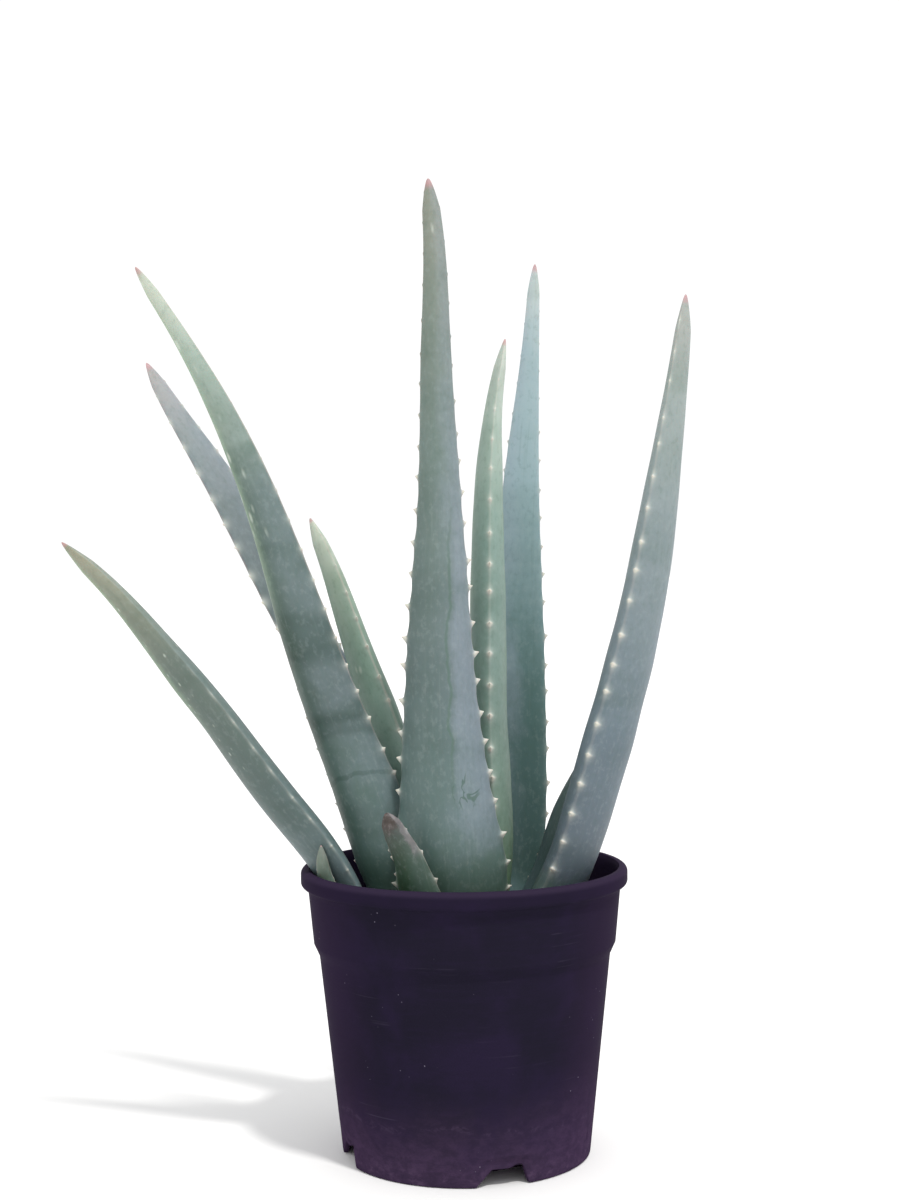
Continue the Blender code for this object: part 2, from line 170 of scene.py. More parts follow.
# A value socket that can be added, multiplied and so on; each operator adds a Math node.
class Wire:

    def __init__(self, graph, socket):
        self.graph, self.socket = graph, socket

    def __add__(self, other):
        return self.graph.math("ADD", self, other)

    def __sub__(self, other):
        return self.graph.math("SUBTRACT", self, other)

    def __rsub__(self, other):
        return self.graph.math("SUBTRACT", other, self)

    def __mul__(self, other):
        return self.graph.math("MULTIPLY", self, other)

    def __truediv__(self, other):
        return self.graph.math("DIVIDE", self, other)

    __radd__ = __add__
    __rmul__ = __mul__


# The node tree of a material or a world, and the shader that its results feed.
class Graph:

    def __init__(self, owner, shader="Principled BSDF"):
        owner.use_nodes = True
        self.owner = owner
        self.tree = owner.node_tree
        self.shader = self.tree.nodes[shader]

    def feed(self, socket, value):
        self.plug(self.shader.inputs[socket], value)

    def plug(self, socket, value):
        if isinstance(value, Wire):
            self.tree.links.new(value.socket, socket)
        elif isinstance(value, tuple) and len(value) == 3 and len(socket.default_value) == 4:
            socket.default_value = (*value, 1.0)
        else:
            socket.default_value = value

    # Any node: its settings are set first, then its sockets' values or links.
    def node(self, kind, settings, inputs, output=0):
        made = self.tree.nodes.new(kind)
        for key, value in settings.items():
            if key == "stops":
                ramp = made.color_ramp.elements
                while len(ramp) < len(value):
                    ramp.new(0.5)
                for stop, (place, color) in zip(ramp, value):
                    stop.position = place
                    stop.color = (*color, 1.0)
            else:
                setattr(made, key, value)
        for key, value in inputs.items():
            self.plug(made.inputs[key], value)
        return Wire(self, made.outputs[output])

    def math(self, operation, a, b=0.0):
        return self.node("ShaderNodeMath", {"operation": operation}, {0: a, 1: b})

    # 0 to 1, smoothly, as value goes from low to high.
    def step(self, value, low, high):
        settings = {"interpolation_type": "SMOOTHSTEP"}
        return self.node("ShaderNodeMapRange", settings, {"Value": value, "From Min": low, "From Max": high})

    # Colour a turned into colour b by that share.
    def mix(self, share, a, b, how="MIX"):
        settings = {"data_type": "RGBA", "blend_type": how}
        return self.node("ShaderNodeMix", settings, {0: share, 6: a, 7: b}, 2)

    def scaled(self, vector, amounts):
        settings = {"operation": "MULTIPLY"}
        return self.node("ShaderNodeVectorMath", settings, {0: vector, 1: amounts})

    def noise(self, vector, scale, detail=3.0, rough=0.5, warp=0.0):
        inputs = {"Vector": vector, "Scale": scale, "Detail": detail, "Roughness": rough, "Distortion": warp}
        return self.node("ShaderNodeTexNoise", {}, inputs)

    def cells(self, vector, scale, feature="F1", output=0):
        settings = {"feature": feature}
        return self.node("ShaderNodeTexVoronoi", settings, {"Vector": vector, "Scale": scale}, output)

    # The x, y and z of a vector.
    def split(self, vector):
        first = self.node("ShaderNodeSeparateXYZ", {}, {0: vector})
        return [Wire(self, socket) for socket in first.socket.node.outputs]

    def place(self):
        return self.node("ShaderNodeTexCoord", {}, {}, 3)

    def attribute(self, name):
        return self.node("ShaderNodeAttribute", {"attribute_name": name}, {}, 1)

    def ramp(self, value, stops):
        return self.node("ShaderNodeValToRGB", {"stops": stops}, {0: value})

    def bump(self, height, distance, strength=1.0):
        inputs = {"Height": height, "Distance": distance, "Strength": strength}
        self.feed("Normal", self.node("ShaderNodeBump", {}, inputs))


leafBuild = {
    "stationGap": 0.00050,  # between cross-sections
    "sides": 52,
    "marginCrowd": 0.76,  # how strongly points gather at the two margins
    "roundness": 1.2,
    "toothPitch": 0.0158,
    "toothHeight": 0.0025,
    "toothReach": 0.0024,
    "toothLean": 0.42,
    "toothSpike": 0.15,  # how far round the section a tooth and its swelling reach, radians
    "swellSpike": 0.45,
    "swellShare": 0.26,  # the swelling's height over its tooth's
    "swellReach": 0.0048,
    "glowReach": 0.0032,
    "seed": 5,
}

# Spine rows are (x, y, z, width) from the buried base to the tip. "facing" is the compass angle of
# the rounded outer face, "plump" thickness over width, "channel" the hollow of the inner face over
# width, each at base and tip; "outer" is the outer face's share of the thickness, "nose" the length
# of the closing tip. "ramp" is the skin's colour from base to tip. Marks that only some leaves carry:
# "green" (side, start, end, from where up), "flecks" (from, to, middle, half width), "scarLine" (across,
# from, to), "scuff" (across, up, radius), "arcs" (middle, half width, strength), "under"
# (amount, shade): the inner face mixed towards that colour, painting shade where it is darker and
# light where it is paler.
leaves = {
    "leaf_front_tall": {
        "spine": [
            (-0.002, -0.018, 0.108, 0.038),
            (-0.006, -0.031, 0.142, 0.0555),
            (-0.009, -0.034, 0.1885, 0.047),
            (-0.011, -0.036, 0.239, 0.0365),
            (-0.011, -0.038, 0.2895, 0.029),
            (-0.0105, -0.040, 0.3395, 0.0215),
            (-0.0115, -0.043, 0.414, 0.015),
            (-0.012, -0.044, 0.468, 0.0105),
            (-0.0145, -0.045, 0.4985, 0.0075),
        ],
        "facing": (-92, -88), "plump": (0.24, 0.62), "channel": (0.16, 0.0), "outer": 0.68, "nose": 0.016,
        "ramp": ["435a4d", "586f6c", "586968", "697a74", "768177", "858a7e"],
        "bloomAndPaintedLight": 0.62, "bloomAndLightSide": 1, "teeth": 1.0, "toothEnd": 0.74, "glow": 0.24, "bands": 0.6, "seed": 1,
        "flecks": (0.93, 0.975, -0.30, 0.25),
        "scarLine": (0.0045, 0.10, 0.225), "scuff": (0.0105, 0.088, 0.011),
    },
    "leaf_front_left": {
        "spine": [
            (-0.016, -0.008, 0.107, 0.034),
            (-0.040, -0.011, 0.154, 0.042),
            (-0.0505, -0.013, 0.1855, 0.0395),
            (-0.062, -0.016, 0.2175, 0.036),
            (-0.079, -0.024, 0.2695, 0.0315),
            (-0.094, -0.031, 0.3205, 0.025),
            (-0.108, -0.037, 0.3605, 0.0195),
            (-0.137, -0.045, 0.420, 0.010),
            (-0.1595, -0.048, 0.456, 0.006),
        ],
        "facing": (-118, -130), "plump": (0.28, 0.60), "channel": (0.16, 0.0), "outer": 0.68, "nose": 0.016,
        "ramp": ["6d8a83", "556f68", "42564f", "5a6d66", "9aab9c", "b9c2b0"],
        "bloomAndPaintedLight": 0.32, "bloomAndLightSide": 1, "teeth": 0.75, "toothEnd": 0.70, "glow": 0.26, "bands": 1.1, "seed": 2,
        "fresh": 0.20, "green": (-1, 0.0, 0.8, 0.45), "flecks": (0.60, 0.99, -0.35, 0.50), "fleckSize": 0.50,
        "arcs": [(0.180, 0.0130, 0.75), (0.1325, 0.0060, 0.60), (0.104, 0.0013, 0.55)],
    },
    "leaf_back_left": {
        "spine": [
            (-0.010, 0.015, 0.108, 0.030),
            (-0.039, 0.032, 0.170, 0.034),
            (-0.067, 0.038, 0.235, 0.031),
            (-0.0955, 0.042, 0.288, 0.0265),
            (-0.1125, 0.046, 0.3205, 0.0235),
            (-0.138, 0.050, 0.3645, 0.0165),
            (-0.165, 0.056, 0.408, 0.008),
            (-0.1705, 0.057, 0.418, 0.006),
        ],
        "facing": (140, 120), "plump": (0.26, 0.55), "channel": (0.16, 0.04), "outer": 0.68, "nose": 0.014,
        "ramp": ["3e4e4b", "4a5b59", "5a6869", "6a7679", "838d91", "9e9d9c"],
        "bloomAndPaintedLight": 0.45, "bloomAndLightSide": -1, "teeth": 0.80, "toothEnd": 0.92, "glow": 0.50, "seed": 3,
        "paleness": 0.80, "edge": "8d6f66",
    },
    "leaf_small_left": {
        "spine": [
            (-0.012, 0.002, 0.110, 0.028),
            (-0.023, 0.006, 0.160, 0.034),
            (-0.040, 0.010, 0.225, 0.032),
            (-0.0545, 0.014, 0.267, 0.0235),
            (-0.0695, 0.018, 0.3095, 0.0145),
            (-0.0795, 0.020, 0.332, 0.0075),
        ],
        "facing": (-165, -165), "plump": (0.50, 0.65), "channel": (0.06, 0.0), "outer": 0.62, "nose": 0.014,
        # the leaf's tone, with the lower colours lifted to paint light into the shade between neighbours
        "ramp": ["a5c2b8", "a3bfb4", "90aca0", "829b8c", "98aa99", "c4ccbd"],
        "bloomAndPaintedLight": 0.35, "bloomAndLightSide": -1, "teeth": 0.85, "toothEnd": 0.92, "glow": 0.26, "fresh": 0.08,
        "flecks": (0.62, 0.99, 0.1, 0.6), "seed": 4,
    },
    "leaf_centre": {
        "spine": [
            (0.011, -0.002, 0.110, 0.028),
            (0.0155, -0.002, 0.1525, 0.034),
            (0.014, 0.000, 0.2045, 0.034),
            (0.0135, 0.003, 0.267, 0.0315),
            (0.014, 0.006, 0.319, 0.0275),
            (0.0155, 0.008, 0.361, 0.020),
            (0.0185, 0.009, 0.3925, 0.013),
            (0.0245, 0.010, 0.4245, 0.0065),
        ],
        "facing": (4, 6), "plump": (0.54, 0.68), "channel": (0.04, 0.0), "outer": 0.52, "nose": 0.016,
        "ramp": ["7b9a7c", "708e6d", "6a8670", "7a9685", "aabcad", "c2cabd"],
        "bloomAndPaintedLight": 0.35, "bloomAndLightSide": -1, "teeth": 1.0, "toothEnd": 0.93, "glow": 0.24, "seed": 5,
        # its inner face is tinted darker: painted shade
        "paleness": 0.60, "line": 0.30, "under": (0.26, "3f6455"), "fresh": 0.05,
        "flecks": (0.86, 0.99, 0.0, 0.5),
    },
    "leaf_back_right": {
        "spine": [
            (0.010, 0.014, 0.108, 0.030),
            (0.0225, 0.022, 0.135, 0.033),
            (0.0285, 0.030, 0.1795, 0.0335),
            (0.0305, 0.036, 0.233, 0.030),
            (0.0315, 0.040, 0.2865, 0.026),
            (0.033, 0.042, 0.3405, 0.0205),
            (0.037, 0.044, 0.3945, 0.013),
            (0.0395, 0.045, 0.427, 0.009),
            (0.042, 0.046, 0.468, 0.0055),
        ],
        "facing": (82, 80), "plump": (0.24, 0.60), "channel": (0.18, 0.04), "outer": 0.68, "nose": 0.016,
        # the leaf's tone, with the lowest colour lifted to paint light into the shade at its base
        "ramp": ["7d999f", "435d5c", "52706f", "90a8ae", "9bb0b5", "b5c1bf"],
        "bloomAndPaintedLight": 0.55, "bloomAndLightSide": 1, "teeth": 0.85, "toothEnd": 0.80, "glow": 0.30, "fresh": 0.12,
        "flecks": (0.90, 0.985, 0.0, 0.6), "seed": 6,
    },
    "leaf_right": {
        "spine": [
            (0.0205, -0.012, 0.105, 0.0285),
            (0.0452, -0.018, 0.140, 0.0368),
            (0.0622, -0.022, 0.186, 0.0384),
            (0.0712, -0.025, 0.217, 0.0388),
            (0.0895, -0.030, 0.288, 0.0335),
            (0.0968, -0.034, 0.3285, 0.0281),
            (0.1031, -0.037, 0.3685, 0.0215),
            (0.1089, -0.040, 0.408, 0.0145),
            (0.1129, -0.042, 0.4405, 0.0087),
        ],
        "facing": (-20, -24), "plump": (0.62, 0.64), "channel": (0.0, 0.0), "outer": 0.62, "nose": 0.018,
        "ramp": ["474f59", "545f69", "617079", "808d90", "929d9a", "9da29d"],
        "bloomAndPaintedLight": 0.45, "bloomAndLightSide": 1, "teeth": 0.8, "toothEnd": 0.97, "glow": 0.20, "seed": 7,
        "paleness": 0.60, "line": 0.30,
    },
    "leaf_right_inner": {
        "spine": [
            (0.026, 0.006, 0.109, 0.022),
            (0.044, 0.004, 0.145, 0.026),
            (0.0515, 0.003, 0.172, 0.022),
            (0.0595, 0.002, 0.192, 0.0165),
            (0.068, 0.001, 0.212, 0.008),
        ],
        "facing": (20, 20), "plump": (0.36, 0.55), "channel": (0.12, 0.0), "outer": 0.68, "nose": 0.010,
        "ramp": ["4a605a", "50676a", "4e6464", "4a5d5b", "4c5b58", "5f6d67"],
        "bloomAndPaintedLight": 0.15, "bloomAndLightSide": 1, "teeth": 0.7, "toothEnd": 0.9, "glow": 0.20, "seed": 8,
    },
    "leaf_withered_stub": {
        "spine": [
            (-0.014, -0.034, 0.109, 0.024),
            (-0.020, -0.046, 0.133, 0.024),
            (-0.0235, -0.050, 0.145, 0.0205),
            (-0.028, -0.052, 0.161, 0.0155),
            (-0.034, -0.053, 0.174, 0.012),
            (-0.0385, -0.054, 0.185, 0.008),
        ],
        "facing": (-105, -105), "plump": (0.22, 0.30), "channel": (0.14, 0.05), "outer": 0.68, "nose": 0.006,
        "ramp": ["335335", "365935", "315134", "344d3b", "404a42", "45403c"],
        "bloomAndPaintedLight": 0.15, "bloomAndLightSide": 1, "teeth": 0.95, "toothEnd": 0.85, "glow": 0.3, "seed": 9,
        "dryFrom": 0.90,
    },
    "side_leaf_long": {
        "spine": [
            (-0.047, -0.011, 0.106, 0.024),
            (-0.0655, -0.012, 0.1475, 0.033),
            (-0.094, -0.016, 0.1875, 0.034),
            (-0.1235, -0.021, 0.229, 0.029),
            (-0.155, -0.025, 0.270, 0.022),
            (-0.172, -0.027, 0.291, 0.0165),
            (-0.202, -0.028, 0.3205, 0.0075),
        ],
        "facing": (-158, -158), "plump": (0.48, 0.66), "channel": (0.04, 0.0), "outer": 0.56, "nose": 0.018,
        # the leaf's tone, with the lowest colour lifted to paint light into the shade at its base
        "ramp": ["b2c4c4", "5f7074", "50605d", "5f6c64", "828878", "94937f"],
        "bloomAndPaintedLight": 0.40, "bloomAndLightSide": -1, "teeth": 0.28, "toothEnd": 0.62, "glow": 0.11, "seed": 10,
        # its inner face is tinted paler: painted light over shade
        "line": 0.22, "lineEnd": 0.66, "fresh": 0.05, "under": (0.30, "84979a"),
        "green": (-1, -0.5, 0.2, 0.50), "flecks": (0.45, 0.86, 0.0, 0.8), "fleckSize": 0.20,
    },
    "side_leaf_bud": {
        "spine": [
            (-0.058, -0.024, 0.112, 0.013),
            (-0.066, -0.0265, 0.135, 0.0115),
            (-0.071, -0.028, 0.150, 0.0085),
            (-0.0725, -0.030, 0.1655, 0.0045),
        ],
        "facing": (-115, -115), "plump": (0.30, 0.45), "channel": (0.05, 0.0), "outer": 0.68, "nose": 0.008,
        "ramp": ["435b48", "49614e", "4f6554", "566a5b", "677467", "767f76"],
        "bloomAndPaintedLight": 0.1, "bloomAndLightSide": 1, "teeth": 0.3, "toothEnd": 0.9, "glow": 0.2, "seed": 11,
    },
}


# Cone-like teeth along a margin: height = h * (1 - |s - place| / reach)^1.35, steeper ahead.
def toothRow(places, heights, along, reach):
    away = along[:, None] - places
    width = np.where(away < 0, reach * 1.10, reach * 0.75)
    return (np.clip(1 - np.abs(away) / width, 0, 1) ** 1.35 * heights).max(axis=1)


# A leaf: across = half * cos q, depth = thickness * |sin q|^roundness - hollow * cos^2 q.
# The section is carried along the spine; teeth push the margins out and towards the tip.
def leafSurface(leaf):
    build = leafBuild
    rough = naturalCurve(leaf["spine"], 60)
    length = np.linalg.norm(np.diff(rough[:, :3], axis=0), axis=1).sum()
    count = int(length / build["stationGap"])
    path = naturalCurve(leaf["spine"], count)
    centres, widths = path[:, :3], path[:, 3]
    tangents = np.gradient(centres, axis=0)
    tangents /= np.linalg.norm(tangents, axis=1)[:, None]
    share = np.linspace(0.0, 1.0, count)
    along = share * length
    seed = leaf["seed"]

    def blend(key):
        start, end = leaf[key]
        return start + (end - start) * share

    compass = np.radians(blend("facing"))
    outward = np.stack([np.cos(compass), np.sin(compass), np.zeros(count)], axis=1)
    outward -= (outward * tangents).sum(axis=1)[:, None] * tangents
    outward /= np.linalg.norm(outward, axis=1)[:, None]
    sideways = np.cross(tangents, outward)

    left = np.clip((1.0 - share) * length / leaf["nose"], 0.0, 1.0)
    width = widths * (0.35 * left + 0.65 * np.sqrt(1.0 - (1.0 - left) ** 2))
    width = width * (1 + 0.014 * valueNoise(along, along * 0 + seed, 0.02, seed))
    outer = width * blend("plump") * leaf["outer"]
    inner = width * blend("plump") * (1.0 - leaf["outer"])
    hollow = width * blend("channel")

    even = np.linspace(0.0, math.tau, build["sides"], endpoint=False)
    turn = even - 0.5 * build["marginCrowd"] * np.sin(2 * even)
    across, rise = np.cos(turn), np.sin(turn)
    bulge = np.abs(rise) ** build["roundness"] * np.sign(rise)
    depth = np.where(bulge > 0, outer[:, None], inner[:, None])
    a = 0.5 * width[:, None] * across
    b = depth * bulge - hollow[:, None] * across**2

    # faint flutes and dents, strongest where the leaf is broad
    wave = valueNoise(a / 0.004 + 3 * seed, along[:, None] / 0.05 + b * 0, 1.0, 40 + seed)
    dent = valueNoise(a + seed, along[:, None] + b * 0, 0.026, 60 + seed)
    push = (0.00005 * wave + 0.00042 * dent) * smoothStep(0.008, 0.03, width)[:, None]
    dry = smoothStep(leaf.get("dryFrom", 2.0) - 0.15, leaf.get("dryFrom", 2.0) + 0.10, share)[:, None]
    crumple = valueNoise(a / 0.0030 + seed, along[:, None] / 0.0045 + b * 150, 1.0, 80 + seed)
    b = b * (1 - 0.35 * dry) + (push + 0.0013 * dry * crumple) * np.sign(b + 1e-6) * np.abs(rise)

    # teeth on both margins, staggered by half a pitch
    rng = np.random.default_rng(build["seed"] + seed)
    lean, tooth, pale = (np.zeros_like(a) for _ in range(3))
    bulk = min(1.12, 0.45 + widths.max() / 0.07) * leaf["teeth"]
    for side, centre in ((1.0, 0.0), (-1.0, math.pi)):
        pitch = build["toothPitch"] * min(1.0, 0.55 + widths.max() / 0.075)
        places = np.arange(0.016 + pitch * (0.5 if side < 0 else 0.0), length - 0.006, pitch)
        places = places + rng.uniform(-0.10, 0.10, len(places)) * pitch
        end = leaf["toothEnd"]
        stations = [0.0, end - 0.35, end - 0.12, end + 0.05, 1.0]
        fade = np.interp(places / length, stations, [1.0, 0.95, 0.6, 0.18, 0.05])
        heights = build["toothHeight"] * bulk * fade * rng.uniform(0.78, 1.12, len(places))
        reach = build["toothReach"] * (0.55 + 0.45 * fade) * (0.4 + 0.6 * bulk)
        high = toothRow(places, heights, along, reach)
        near = np.exp(-(((along[:, None] - places) / build["swellReach"]) ** 2))
        swell = (near * heights * build["swellShare"]).max(axis=1) * smoothStep(0.0, 0.03, width)
        apart = np.abs(np.angle(np.exp(1j * (turn - centre))))
        spike = np.exp(-((apart / build["toothSpike"]) ** 1.5))
        broad = np.exp(-((apart / build["swellSpike"]) ** 2))
        a = a + side * (high[:, None] * spike + swell[:, None] * broad)
        lean = lean + build["toothLean"] * high[:, None] * spike
        tooth = np.maximum(tooth, high[:, None] / build["toothHeight"] * spike)
        glow = np.exp(-(((along[:, None] - places) / build["glowReach"]) ** 2)).max(axis=1)
        shown = np.interp(share, [0.0, end, end + 0.06], [1.0, 0.9, 0.15])
        pale = np.maximum(pale, (glow * shown)[:, None] * np.exp(-((apart / leaf["glow"]) ** 2)))

    grid = (
        centres[:, None]
        + a[..., None] * sideways[:, None]
        + b[..., None] * outward[:, None]
        + lean[..., None] * tangents[:, None]
    )
    flat = np.zeros_like(a)
    place = np.stack([a, flat + along[:, None], b], axis=2)
    marks = np.stack([flat + share[:, None], tooth, pale], axis=2)
    spread = np.stack([flat + across, flat + np.sign(bulge) * np.abs(rise), flat], axis=2)
    return grid, {"leafPlace": place, "leafMarks": marks, "leafAcross": spread}


# Waxy skin: colours along the leaf, a one-sided bloom that is partly waxy bloom and partly painted light
# on the lit side, painted shade and light on some inner faces, cross bands, scars, pale margins and teeth.
def aloeSkin(name, leaf):
    look = Graph(bpy.data.materials.new("aloe_" + name))
    look.feed("IOR", 1.42)
    place = look.attribute("leafPlace")
    share, tooth, pale = look.split(look.attribute("leafMarks"))
    across, face, _ = look.split(look.attribute("leafAcross"))
    x, along, _ = look.split(place)
    offset = (leaf["seed"] * 3.1, 0.0, 0.0)
    shifted = look.node("ShaderNodeVectorMath", {"operation": "ADD"}, {0: place, 1: offset})
    clouds = look.noise(look.scaled(shifted, (42.0, 26.0, 42.0)), 1.0, 4.0, 0.6, 0.5)
    bands = look.noise(look.scaled(shifted, (16.0, 50.0, 16.0)), 1.0, 2.0, 0.45, 0.35)
    streaks = look.noise(look.scaled(shifted, (620.0, 12.0, 620.0)), 1.0, 3.0, 0.6)
    mottle = look.noise(look.scaled(shifted, (380.0, 260.0, 380.0)), 1.0, 4.0, 0.62)
    grain = look.noise(shifted, 2400.0, 2.0, 0.6)

    wander = share + (clouds - 0.5) * 0.14
    stops = [(0.0, 0), (0.13, 1), (0.38, 2), (0.66, 3), (0.86, 4), (0.97, 5)]
    color = look.ramp(wander, [(where, tint(leaf["ramp"][i])) for where, i in stops])
    # waxy bloom and painted light: one side of the leaf is made lighter as if lit, broken by clouds and bands
    lit = look.step(across * leaf["bloomAndLightSide"] + (clouds - 0.5) * 2.2 + (bands - 0.5) * 0.8, -0.35, 0.75)
    if "scarLine" in leaf:
        scarX, start, end = leaf["scarLine"]
        sway = look.noise(look.scaled(place, (0.0, 34.0, 0.0)), 1.0, 3.0, 0.6)
        fromScar = x - scarX - (sway - 0.5) * 0.010
        scarZone = look.step(along, start - 0.03, start + 0.02) * look.step(along, end + 0.02, end - 0.03)
        crisp = look.step(fromScar, -0.0003, 0.0042)
        # in the scar zone the painted lit side ends sharply at the scar
        lit = lit * (1.0 - scarZone * 0.60) + crisp * scarZone * 0.60
        scar = look.step(look.math("ABSOLUTE", fromScar), 0.0011, 0.0002) * scarZone
        scar = scar * look.step(face, 0.0, 0.2)
    bloomAndPaintedLight = lit * leaf["bloomAndPaintedLight"] * look.step(share, 0.06, 0.22) * (1.0 - look.step(share, 0.50, 0.80) * 0.45)
    # lilac-grey colour laid by the mask above: partly waxy bloom, partly painted light
    color = look.mix(bloomAndPaintedLight * 0.66, color, tint("9ba5b6"))
    if "green" in leaf:
        side, start, end, above = leaf["green"]
        greener = look.step(across * side + (mottle - 0.5) * 0.6, start, end)
        greener = greener * look.step(share, above, above + 0.15)
        color = look.mix(greener * 0.50, color, tint("82a07c"))
    rubbed = look.step(bands * 0.65 + clouds * 0.35, 0.46, 0.66) * leaf.get("bands", 0.5)
    color = look.mix(rubbed * 0.45, color, look.mix(1.0, color, tint("8fb09a"), "MULTIPLY"))
    for middle, half, strength in leaf.get("arcs", []):
        fromArc = look.math("ABSOLUTE", along - middle + across * across * 0.007 + (clouds - 0.5) * 0.010)
        arch = look.step(fromArc, half * 1.5, half * 0.6) * strength
        color = look.mix(arch, color, look.mix(1.0, color, tint("b4c6bd"), "MULTIPLY"))
    fresh = look.step(share + (clouds - 0.5) * 0.16 + (mottle - 0.5) * 0.03, 0.185, 0.115)
    color = look.mix(fresh * leaf.get("fresh", 0.45), color, tint("45614d"))
    # painted shade and light on the inner face: darker on leaf_centre, paler on side_leaf_long
    if "under" in leaf:
        amount, shade = leaf["under"]
        color = look.mix(look.step(face, 0.10, -0.10) * amount, color, tint(shade))
    color = look.mix(look.step(mottle, 0.50, 0.68) * 0.10, color, tint("a9b6b4"))
    color = look.mix(look.step(mottle, 0.48, 0.32) * 0.18, color, tint("4a6458"))
    color = look.mix(look.step(streaks, 0.55, 0.75) * 0.05, color, tint("b0bcb8"))
    color = look.mix(look.step(streaks, 0.44, 0.32) * 0.10, color, tint("4b665a"))
    if "flecks" in leaf:
        low, high, fleckMiddle, spread = leaf["flecks"]
        flat = look.scaled(shifted, (300.0, 120.0, 0.0))
        dots = look.cells(flat, 1.0)
        chosen = look.step(look.split(look.cells(flat, 1.0, "F1", 1))[0], 0.52, 0.56)
        fromMiddle = look.math("ABSOLUTE", across - fleckMiddle)
        zone = look.step(share, low - 0.05, low + 0.03) * look.step(share, high + 0.02, high - 0.01)
        zone = zone * look.step(fromMiddle, spread + 0.2, spread) * chosen
        fleckSize = leaf.get("fleckSize", 0.36)
        color = look.mix(look.step(dots, fleckSize, fleckSize * 0.2) * zone * 0.46, color, tint("d3dbcf"))
    if "scarLine" in leaf:
        color = look.mix(scar * 0.50, color, tint("4b6757"))
    if "scuff" in leaf:
        aside, up, radius = leaf["scuff"]
        ends = {0: look.scaled(place, (1.3, 1.0, 0.0)), 1: (aside * 1.3, up, 0.0)}
        away = look.node("ShaderNodeVectorMath", {"operation": "DISTANCE"}, ends, 1)
        curl = look.noise(look.scaled(place, (105.0, 65.0, 0.0)), 1.0, 2.0, 0.5, 1.2)
        scuff = look.step(look.math("ABSOLUTE", curl - 0.5), 0.042, 0.012)
        scuff = scuff * look.step(away, radius, radius * 0.6)
        color = look.mix(scuff * 0.60 * look.step(face, 0.0, 0.2), color, tint("3c5a48"))
    edge = look.step(look.math("ABSOLUTE", across), 0.988, 0.9992)
    lineEnd = leaf.get("lineEnd", 1.2)
    edge = edge * (0.20 + look.step(share, 0.25, 0.9) * 0.28) * leaf.get("line", 1.0)
    edge = edge * look.step(share, lineEnd, lineEnd - 0.1)
    color = look.mix(edge, color, tint(leaf.get("edge", "bfb4aa")))
    if "dryFrom" in leaf:
        dryStrip = look.step(across + (mottle - 0.5) * 0.5, 0.48, 0.72) * look.step(share, 0.66, 0.76)
        husk = look.ramp(mottle, [(0.36, tint("2f2a27")), (0.52, tint("4d4845")), (0.68, tint("7f7a7c"))])
        dry = look.step(wander + (mottle - 0.5) * 0.12, leaf["dryFrom"] - 0.03, leaf["dryFrom"] + 0.05)
        color = look.mix(dry, color, look.mix(0.5, husk, tint("423833")))
        color = look.mix(dryStrip * 0.75, color, look.mix(0.45, husk, tint("9a989c")))
    else:
        blush = look.step(share + (mottle - 0.5) * 0.006, 0.983, 0.995)
        color = look.mix(blush * 0.75, color, tint("b98f93"))
    color = look.mix(pale * leaf.get("paleness", 0.42), color, tint("ccd0c8"))
    color = look.mix(look.step(tooth, 0.02, 0.34) * 0.85, color, tint("d3d0c4"))
    color = look.mix(look.step(tooth, 0.72, 0.98) * 0.40, color, tint("b08c7c"))
    look.feed("Base Color", color)
    look.feed("Roughness", 0.46 + bloomAndPaintedLight * 0.20 + grain * 0.10)
    look.bump(bands * 0.7 + clouds * 0.6 + mottle * 0.30 + streaks * 0.18 + grain * 0.12, 0.00045, 0.5)
    look.feed("Coat Roughness", 0.38)
    look.feed("Coat Weight", 0.08)
    look.feed("Subsurface Weight", 0.06)
    look.feed("Subsurface Scale", 0.006)
    return look.owner


# Each leaf's surface, closed at both ends, in place of the plain leaf of that name.
def buildLeaves():
    for name, leaf in leaves.items():
        grid, marks = leafSurface(leaf)
        points, faces, ends = tube(grid, marks)
        piece = makeMesh("aloe_" + name, points, faces, ends)
        piece.data.materials.append(aloeSkin(name, leaf))
        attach(piece, "root")
        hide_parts(name)
        print("leaf", name, len(piece.data.polygons), "faces")


pot = {
    "height": 0.150,
    "rimRadius": 0.085,
    "beadDrop": 0.0095,
    "bandTop": 0.0813,
    "bandBottom": 0.0786,
    "shoulderZ": 0.111,
    "shoulderDrop": 0.0055,
    "coneTop": 0.0759,
    "foot": 0.0646,
    "wall": 0.0014,
    "channelLift": 0.0090,
    "channelInner": 0.044,
    "channelOuter": 0.0612,
    "hub": 0.040,
    "sides": 700,
    "notches": 4,
    "firstNotch": -75.0,
    "notchHeight": 0.0085,
    "notchLeft": (-0.0128, 0.0082),  # where the slanted side starts, along the foot, and its run
    "notchRight": (0.0158, 0.0118),
    "notchPeak": (0.22, 0.0098, 0.0032),  # extra rise, where, half width
    "drainHoles": 8,
    "drainRadius": 0.0035,
    "drainSides": 28,
    "dents": [(-21.0, 0.0128, 0.0008, 0.0026, 0.0012), (-4.0, 0.0285, 0.0016, 0.0014, 0.0011)],
}


# Points (r, z) on a circle, centre + radius * (cos a, sin a), from angle start to end in degrees.
def arc(centre, radius, start, end, count):
    angle = np.radians(np.linspace(start, end, count))
    return np.stack([centre[0] + radius * np.cos(angle), centre[1] + radius * np.sin(angle)], axis=1)


